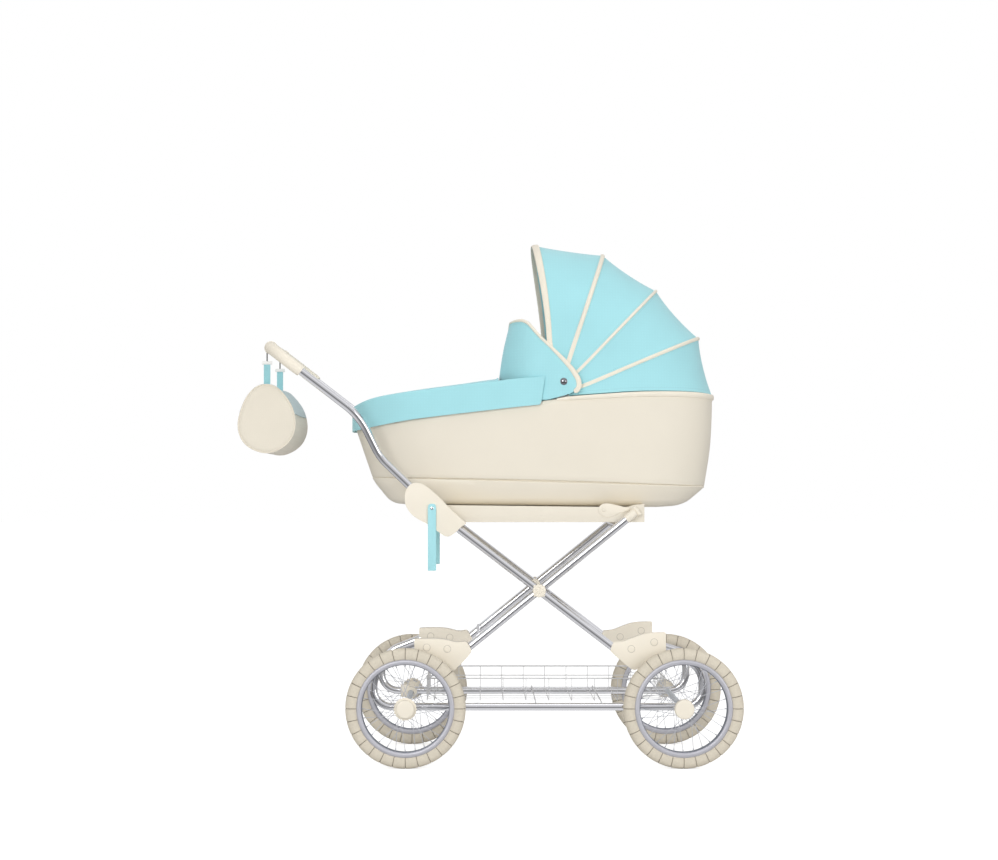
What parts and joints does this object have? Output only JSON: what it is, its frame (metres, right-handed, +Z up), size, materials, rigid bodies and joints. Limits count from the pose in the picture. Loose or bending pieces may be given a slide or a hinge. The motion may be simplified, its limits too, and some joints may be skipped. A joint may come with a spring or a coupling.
{
  "type": "baby carriage",
  "caption": "Baby carriage with a lift-off carrycot, folding hood, wind flap and apron on a folding cross frame with sprung loops, spoked wheels, wire basket and a hanging bag",
  "frame": {"origin": "centre of the footprint, on the ground under the tyres", "axes": "+X towards the hood end, -Y the carriage's right-hand side, +Z up"},
  "size_m": [1.2269, 0.622, 1.2883],
  "materials": {
    "cream_plastic": "satin cream",
    "light_cream_plastic": "satin light cream",
    "cyan_plastic": "satin light blue",
    "cyan_fabric": "light blue cloth",
    "cream_fabric": "cream cloth",
    "white_fabric": "white cloth",
    "white_plastic": "white",
    "chrome_tube": "chrome plated",
    "polished_rim": "polished",
    "grey_wire": "light grey coated wire",
    "cream_tyre": "matt cream",
    "dark_stud": "dark polished"
  },
  "bodies": {
    "rear_frame": {"rear_axle": "chrome_tube", "wire_basket": "grey_wire", "rear_spring_right": "chrome_tube", "rear_spring_left": "chrome_tube", "rear_bracket_right": "cream_plastic", "rear_bracket_left": "cream_plastic"},
    "rising_frame": {"rising_tube_right": "chrome_tube", "rising_tube_left": "chrome_tube", "pivot_bolt_right": "cream_plastic", "pivot_bolt_left": "cream_plastic", "front_support_tube": "chrome_tube", "lower_tie_bar": "chrome_tube"},
    "falling_frame": {"falling_tube_right": "chrome_tube", "falling_tube_left": "chrome_tube", "handle_housing_right": "cream_plastic", "handle_housing_left": "cream_plastic", "rear_support_tube": "chrome_tube"},
    "front_frame": {"front_axle": "chrome_tube", "front_spring_right": "chrome_tube", "front_spring_left": "chrome_tube", "front_bracket_right": "cream_plastic", "front_bracket_left": "cream_plastic"},
    "handle": {"handle_tube": "chrome_tube", "handle_grip": "cream_plastic"},
    "bag": {"bag_body": "cream_fabric", "bag_hanger_right": "white_plastic", "bag_hanger_left": "white_plastic"},
    "brake": {"brake_lever": "cream_plastic"},
    "carrycot": {"cot_shell": "cream_plastic", "cot_tub": "light_cream_plastic", "cot_base": "cream_plastic", "mattress": "white_fabric", "apron": "cyan_fabric", "hood_panel_4": "cyan_fabric"},
    "flap": {"wind_flap": "cyan_fabric", "snap_stud_right": "dark_stud", "snap_stud_left": "dark_stud"},
    "rib_3": {"hood_rib_3": "cream_plastic", "hood_panel_3": "cyan_fabric"},
    "rib_2": {"hood_rib_2": "cream_plastic", "hood_panel_2": "cyan_fabric"},
    "rib_1": {"hood_rib_1": "cream_plastic", "hood_panel_1": "cyan_fabric"},
    "front_bow": {"front_bow": "cream_plastic"},
    "lever_right": {"release_lever_right": "cyan_plastic"},
    "latch_right": {"latch_link_right": "cream_plastic"},
    "rear_wheel_right": {"rear_tyre_right": "cream_tyre", "rear_rim_right": "polished_rim", "rear_hub_right": "cream_plastic"},
    "front_wheel_right": {"front_tyre_right": "cream_tyre", "front_rim_right": "polished_rim", "front_hub_right": "cream_plastic"},
    "lever_left": {"release_lever_left": "cyan_plastic"},
    "latch_left": {"latch_link_left": "cream_plastic"},
    "rear_wheel_left": {"rear_tyre_left": "cream_tyre", "rear_rim_left": "polished_rim", "rear_hub_left": "cream_plastic"},
    "front_wheel_left": {"front_tyre_left": "cream_tyre", "front_rim_left": "polished_rim", "front_hub_left": "cream_plastic"}
  },
  "joints": [
    {"name": "frame_fold", "type": "hinge", "parent": "rear_frame", "child": "rising_frame", "pos_m": [-0.1, 0, 0.2855], "axis": [0, 1, 0], "range_deg": [0, 26]},
    {"name": "cross_pivot", "type": "hinge", "parent": "rising_frame", "child": "falling_frame", "pos_m": [0.1225, 0, 0.426], "axis": [0, 1, 0], "range_deg": [-52, 0]},
    {"name": "front_foot", "type": "hinge", "parent": "falling_frame", "child": "front_frame", "pos_m": [0.345, 0, 0.2855], "axis": [0, 1, 0], "range_deg": [0, 26]},
    {"name": "handle_tilt", "type": "hinge", "parent": "falling_frame", "child": "handle", "pos_m": [-0.16, 0, 0.65], "axis": [0, 1, 0], "range_deg": [-40, 10]},
    {"name": "bag_swing", "type": "hinge", "parent": "handle", "child": "bag", "pos_m": [-0.5313, 0, 1.017], "axis": [0, 1, 0], "range_deg": [-20, 30]},
    {"name": "brake_press", "type": "hinge", "parent": "rear_frame", "child": "brake", "pos_m": [-0.2, 0.17, 0.145], "axis": [0, -1, 0], "range_deg": [0, 20]},
    {"name": "cot_lift", "type": "slide", "parent": "rear_frame", "child": "carrycot", "axis": [0, 0, 1], "range_m": [0, 0.25]},
    {"name": "flap_fold", "type": "hinge", "parent": "carrycot", "child": "flap", "pos_m": [0.031, 0, 0.95], "axis": [0, -1, 0], "range_deg": [0, 40]},
    {"name": "hood_rib_3_fold", "type": "hinge", "parent": "carrycot", "child": "rib_3", "pos_m": [0.1828, 0, 0.9337], "axis": [0, 1, 0], "range_deg": [0, 12.8], "deforming": ["hood_panel_4", "hood_panel_3", "hood_panel_2", "hood_panel_1"]},
    {"name": "hood_rib_2_fold", "type": "hinge", "parent": "rib_3", "child": "rib_2", "pos_m": [0.1828, 0, 0.9337], "axis": [0, 1, 0], "range_deg": [0, 20.42]},
    {"name": "hood_rib_1_fold", "type": "hinge", "parent": "rib_2", "child": "rib_1", "pos_m": [0.1828, 0, 0.9337], "axis": [0, 1, 0], "range_deg": [0, 21.52]},
    {"name": "front_bow_fold", "type": "hinge", "parent": "rib_1", "child": "front_bow", "pos_m": [0.1828, 0, 0.9337], "axis": [0, 1, 0], "range_deg": [0, 22.72]},
    {"name": "lever_right_swing", "type": "hinge", "parent": "falling_frame", "child": "lever_right", "pos_m": [-0.1368, -0.2498, 0.6259], "axis": [0, 1, 0], "range_deg": [-35, 35]},
    {"name": "latch_right_turn", "type": "hinge", "parent": "carrycot", "child": "latch_right", "pos_m": [0.2802, -0.1993, 0.622], "axis": [0, -1, 0], "range_deg": [0, 35]},
    {"name": "rear_wheel_right_spin", "type": "hinge", "parent": "rear_frame", "child": "rear_wheel_right", "pos_m": [-0.2, -0.275, 0.145], "axis": [0, 1, 0], "continuous": true},
    {"name": "front_wheel_right_spin", "type": "hinge", "parent": "front_frame", "child": "front_wheel_right", "pos_m": [0.4685, -0.275, 0.145], "axis": [0, 1, 0], "continuous": true},
    {"name": "lever_left_swing", "type": "hinge", "parent": "falling_frame", "child": "lever_left", "pos_m": [-0.1368, 0.2498, 0.6259], "axis": [0, 1, 0], "range_deg": [-35, 35]},
    {"name": "latch_left_turn", "type": "hinge", "parent": "carrycot", "child": "latch_left", "pos_m": [0.2802, 0.1993, 0.622], "axis": [0, -1, 0], "range_deg": [0, 35]},
    {"name": "rear_wheel_left_spin", "type": "hinge", "parent": "rear_frame", "child": "rear_wheel_left", "pos_m": [-0.2, 0.275, 0.145], "axis": [0, 1, 0], "continuous": true},
    {"name": "front_wheel_left_spin", "type": "hinge", "parent": "front_frame", "child": "front_wheel_left", "pos_m": [0.4685, 0.275, 0.145], "axis": [0, 1, 0], "continuous": true}
  ],
  "couplings": [
    {"joint": "cross_pivot", "follows": "frame_fold", "ratio": -2},
    {"joint": "front_foot", "follows": "frame_fold", "ratio": 1},
    {"joint": "hood_rib_2_fold", "follows": "hood_rib_3_fold", "ratio": 1.594},
    {"joint": "hood_rib_1_fold", "follows": "hood_rib_3_fold", "ratio": 1.68},
    {"joint": "front_bow_fold", "follows": "hood_rib_3_fold", "ratio": 1.773}
  ]
}
